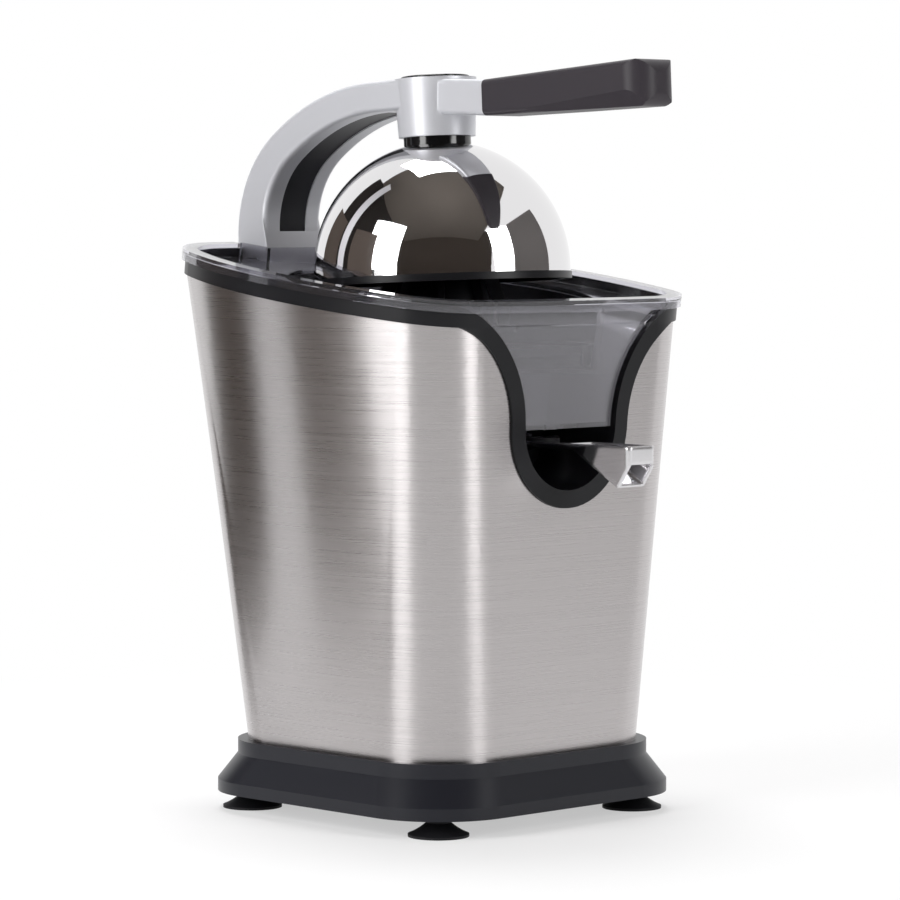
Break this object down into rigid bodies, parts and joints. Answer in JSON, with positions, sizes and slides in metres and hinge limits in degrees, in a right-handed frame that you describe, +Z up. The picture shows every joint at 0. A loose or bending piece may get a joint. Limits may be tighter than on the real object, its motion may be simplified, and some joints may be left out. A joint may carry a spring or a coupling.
{
  "type": "electric lever citrus juicer",
  "caption": "Electric citrus juicer: a hinged lever presses fruit under a dome on to a motor driven cone; juice runs through a strainer and tray to a drip stop spout.",
  "frame": {"origin": "on the table under the axis of the squeezing cone", "axes": "+Z up along the cone's axis, front with the spout towards -Y, +X to the right"},
  "size_m": [0.2064, 0.2768, 0.3632],
  "materials": {
    "brushed_steel": "horizontal brushed satin",
    "satin_black": "satin moulded",
    "gloss_black": "gloss moulded",
    "smoky_clear": "clear smoke tinted moulding",
    "chrome": "mirror plated",
    "satin_silver": "satin cast and painted",
    "grip_grey": "matt moulded",
    "soft_rubber": "matt",
    "zinc_steel": "zinc plated",
    "bronze": "sintered plain",
    "copper": "enamelled wire",
    "natural_plastic": "unpigmented moulding",
    "grey_alloy": "die cast",
    "core_steel": "varnished laminations"
  },
  "bodies": {
    "housing": {"suction_feet": "soft_rubber", "base_plate": "satin_black", "base_skirt": "satin_black", "base_screws": "zinc_steel", "body_screws": "zinc_steel", "cord_gland": "soft_rubber", "steel_shell": "brushed_steel", "upper_housing": "satin_black", "juice_tray": "smoky_clear", "strainer": "satin_black", "shaft_bush": "bronze", "shaft_seal": "soft_rubber", "gearbox_case": "natural_plastic", "gearbox_cover": "natural_plastic", "gearbox_screws": "zinc_steel", "case_screws": "zinc_steel", "idler_axle": "zinc_steel", "motor_bracket_upper": "grey_alloy", "motor_bracket_lower": "grey_alloy", "motor_stator": "core_steel", "motor_coils": "copper", "motor_screws": "zinc_steel", "stack_bolts": "zinc_steel", "switch_bracket": "zinc_steel", "microswitch": "gloss_black", "return_spring": "zinc_steel", "spout_pin": "zinc_steel", "hinge_bracket": "zinc_steel", "hinge_screws": "zinc_steel", "hinge_rod": "zinc_steel"},
    "lever": {"lever_arm": "satin_silver", "arm_insert": "satin_black", "hub_cap": "satin_silver", "hinge_bushes": "bronze", "grip": "grip_grey", "dome_shell": "chrome", "dome_collar": "gloss_black", "dome_liner": "satin_black", "dome_bolt": "zinc_steel"},
    "drip_spout": {"spout": "chrome", "spout_pad": "soft_rubber"},
    "rotor": {"motor_rotor": "core_steel", "motor_pinion": "zinc_steel", "cooling_fan": "natural_plastic"},
    "idler": {"idler_gear": "natural_plastic"},
    "output": {"output_gear": "natural_plastic"},
    "plunger": {"switch_plunger": "natural_plastic"},
    "cone": {"drive_shaft": "zinc_steel", "juicing_cone": "satin_black"}
  },
  "joints": [
    {"name": "lever_hinge", "type": "hinge", "parent": "housing", "child": "lever", "pos_m": [0, 0.115, 0.262], "axis": [-1, 0, 0], "range_deg": [0, 70]},
    {"name": "spout_tilt", "type": "hinge", "parent": "housing", "child": "drip_spout", "pos_m": [0, -0.05, 0.182], "axis": [-1, 0, 0], "range_deg": [0, 8]},
    {"name": "motor_spin", "type": "hinge", "parent": "housing", "child": "rotor", "pos_m": [0.01909, 0.01091, 0.1], "axis": [0, 0, 1], "continuous": true},
    {"name": "idler_spin", "type": "hinge", "parent": "housing", "child": "idler", "pos_m": [0, 0.03, 0.18], "axis": [0, 0, 1], "continuous": true},
    {"name": "output_spin", "type": "hinge", "parent": "housing", "child": "output", "pos_m": [0, 0, 0.19], "axis": [0, 0, 1], "continuous": true},
    {"name": "cone_press", "type": "slide", "parent": "housing", "child": "plunger", "axis": [0, 0, 1], "range_m": [-0.0025, 0], "stiffness_N_per_m": 700, "springref_m": 0.006, "deforming": ["return_spring"]},
    {"name": "cone_spin", "type": "hinge", "parent": "plunger", "child": "cone", "pos_m": [0, 0, 0.24], "axis": [0, 0, 1], "continuous": true}
  ],
  "couplings": [
    {"joint": "idler_spin", "follows": "motor_spin", "ratio": -0.28571},
    {"joint": "output_spin", "follows": "motor_spin", "ratio": 0.071429},
    {"joint": "cone_spin", "follows": "motor_spin", "ratio": 0.071429}
  ]
}
